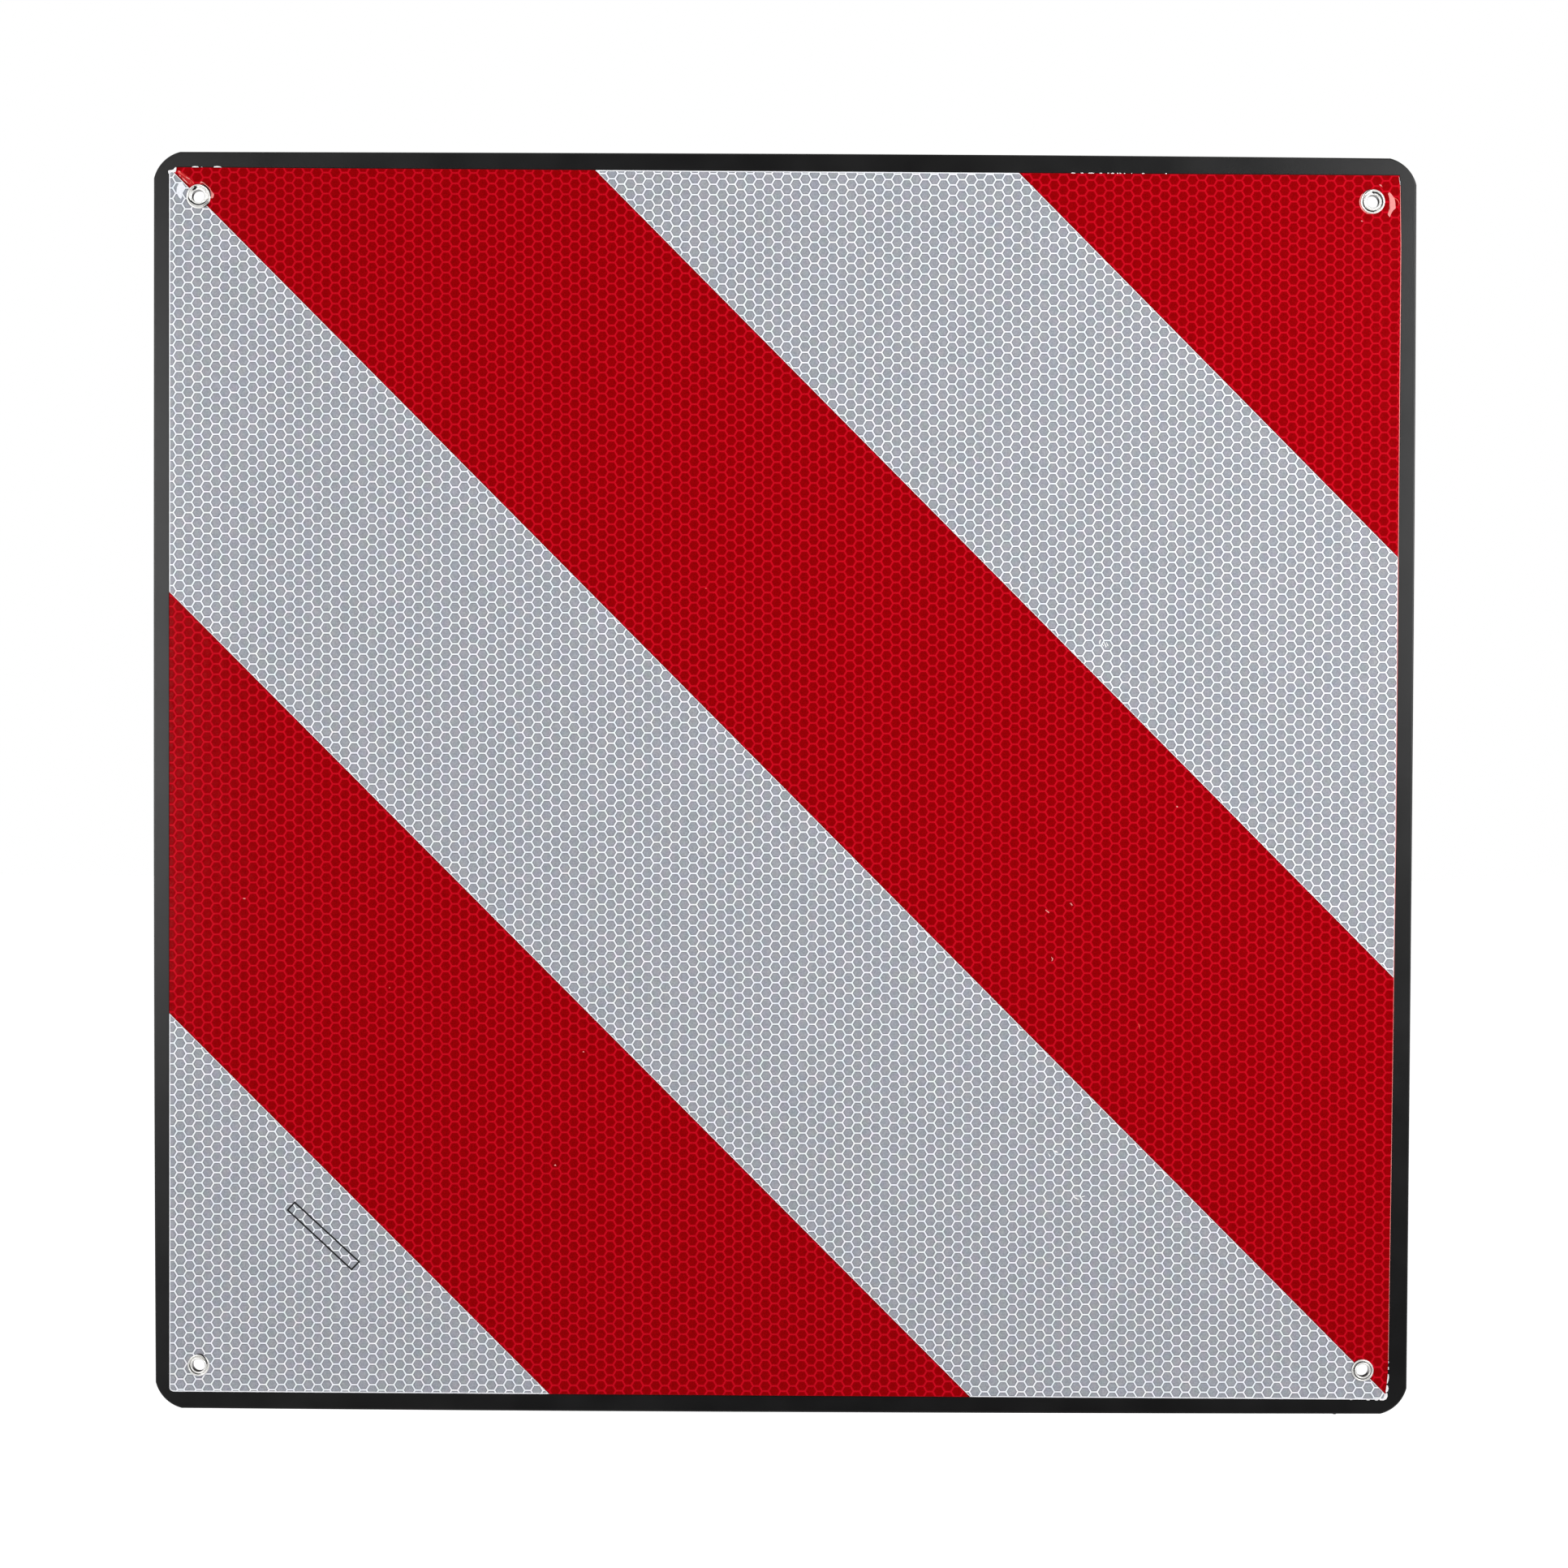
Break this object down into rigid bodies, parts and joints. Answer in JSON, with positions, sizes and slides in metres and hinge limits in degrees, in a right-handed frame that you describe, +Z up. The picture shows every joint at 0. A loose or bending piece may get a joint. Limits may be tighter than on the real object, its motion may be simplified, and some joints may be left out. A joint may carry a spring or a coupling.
{
  "type": "overhanging load sign",
  "caption": "Square reflective marker board with diagonal red and white stripes and corner eyelets, tied to the rear of a load or rack that overhangs a vehicle.",
  "frame": {"origin": "centre of the four eyelets, on the back face of the board", "axes": "the sign stands upright as in use: +Z up, +X to the right as the face is seen, the face looks along -Y and the back along +Y"},
  "size_m": [0.5, 0.0044, 0.5],
  "materials": {
    "board_plastic": "black, semi-gloss, faintly orange-peeled",
    "white_sheeting": "grey reflective cells between white seal lines, under a clear face",
    "red_film": "clear red film over the reflective cells",
    "eyelet_metal": "bright nickel plate",
    "washer_metal": "bright nickel plate"
  },
  "bodies": {
    "root": {"backing_board": "board_plastic", "reflective_sheet": "white_sheeting", "red_film_lower": "red_film", "red_film_middle": "red_film", "red_film_corner": "red_film", "eyelet_top_left": "eyelet_metal", "eyelet_top_right": "eyelet_metal", "eyelet_bottom_left": "eyelet_metal", "eyelet_bottom_right": "eyelet_metal", "washer_top_left": "washer_metal", "washer_top_right": "washer_metal", "washer_bottom_left": "washer_metal", "washer_bottom_right": "washer_metal"}
  },
  "joints": []
}
